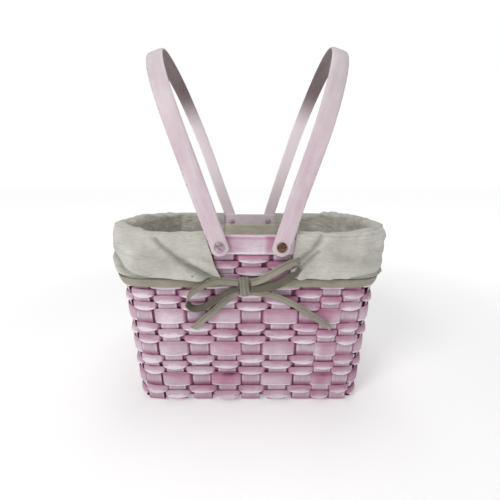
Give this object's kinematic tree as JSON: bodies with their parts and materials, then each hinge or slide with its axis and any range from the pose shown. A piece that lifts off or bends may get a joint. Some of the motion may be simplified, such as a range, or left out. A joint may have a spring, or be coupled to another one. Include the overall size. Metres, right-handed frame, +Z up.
{
  "type": "basket",
  "caption": "Oblong woven chip-wood basket with two folding bent-strip handles, a turned-out cotton liner and a tape bow at the front.",
  "frame": {"origin": "centre of the base, on the surface that the basket stands on", "axes": "+X right, +Y to the back, +Z up; the bow is at the front, -Y"},
  "size_m": [0.3118, 0.2525, 0.4152],
  "materials": {
    "stake_wood": "thin white wash over pink paint, satin",
    "wide_weaver_wood": "white wash brushed over pink paint, satin",
    "narrow_weaver_wood": "pink paint with white wash on the edges, satin",
    "rim_wood": "pink paint with uneven white wash, satin",
    "handle_wood": "pale pink paint, slightly worn at the edges",
    "nickel": "worn nickel with pink paint smears",
    "bronze": "dark antique bronze",
    "hardware_steel": "plain zinc plated",
    "lining_cotton": "plain woven natural cotton",
    "cuff_cotton": "plain woven natural cotton with dark slubs",
    "tape_cotton": "folded cotton tape, grey beige"
  },
  "bodies": {
    "basket": {"cross_stake_1": "stake_wood", "cross_stake_2": "stake_wood", "cross_stake_3": "stake_wood", "cross_stake_4": "stake_wood", "cross_stake_5": "stake_wood", "cross_stake_6": "stake_wood", "cross_stake_7": "stake_wood", "cross_stake_8": "stake_wood", "cross_stake_9": "stake_wood", "long_stake_1": "stake_wood", "long_stake_2": "stake_wood", "long_stake_3": "stake_wood", "long_stake_4": "stake_wood", "long_stake_5": "stake_wood", "long_stake_6": "stake_wood", "long_stake_7": "stake_wood", "wide_weaver_1": "wide_weaver_wood", "wide_weaver_2": "wide_weaver_wood", "wide_weaver_3": "wide_weaver_wood", "wide_weaver_4": "wide_weaver_wood", "narrow_weaver_1": "narrow_weaver_wood", "narrow_weaver_2": "narrow_weaver_wood", "narrow_weaver_3": "narrow_weaver_wood", "narrow_weaver_4": "narrow_weaver_wood", "narrow_weaver_5": "narrow_weaver_wood", "narrow_weaver_6": "narrow_weaver_wood", "narrow_weaver_7": "narrow_weaver_wood", "narrow_weaver_8": "narrow_weaver_wood", "narrow_weaver_9": "narrow_weaver_wood", "narrow_weaver_10": "narrow_weaver_wood", "narrow_weaver_11": "narrow_weaver_wood", "narrow_weaver_12": "narrow_weaver_wood", "narrow_weaver_13": "narrow_weaver_wood", "narrow_weaver_14": "narrow_weaver_wood", "rim_outer": "rim_wood", "rim_inner": "rim_wood", "bolts_left": "nickel", "bolts_right": "bronze", "washers": "hardware_steel", "nuts": "hardware_steel", "liner_bag": "lining_cotton", "cuff_left": "cuff_cotton", "cuff_right": "cuff_cotton", "hem_tape": "tape_cotton", "bow_knot": "tape_cotton", "bow_loop_left": "tape_cotton", "bow_loop_right": "tape_cotton", "bow_tail_left": "tape_cotton", "bow_tail_right": "tape_cotton"},
    "handle_left": {"handle_left": "handle_wood"},
    "handle_right": {"handle_right": "handle_wood"}
  },
  "joints": [
    {"name": "handle_left_hinge", "type": "hinge", "parent": "basket", "child": "handle_left", "pos_m": [-0.0318, 0, 0.195], "axis": [0, 1, 0], "range_deg": [-70.5, 24.5]},
    {"name": "handle_right_hinge", "type": "hinge", "parent": "basket", "child": "handle_right", "pos_m": [0.0318, 0, 0.195], "axis": [0, -1, 0], "range_deg": [-72.5, 22.5]}
  ]
}
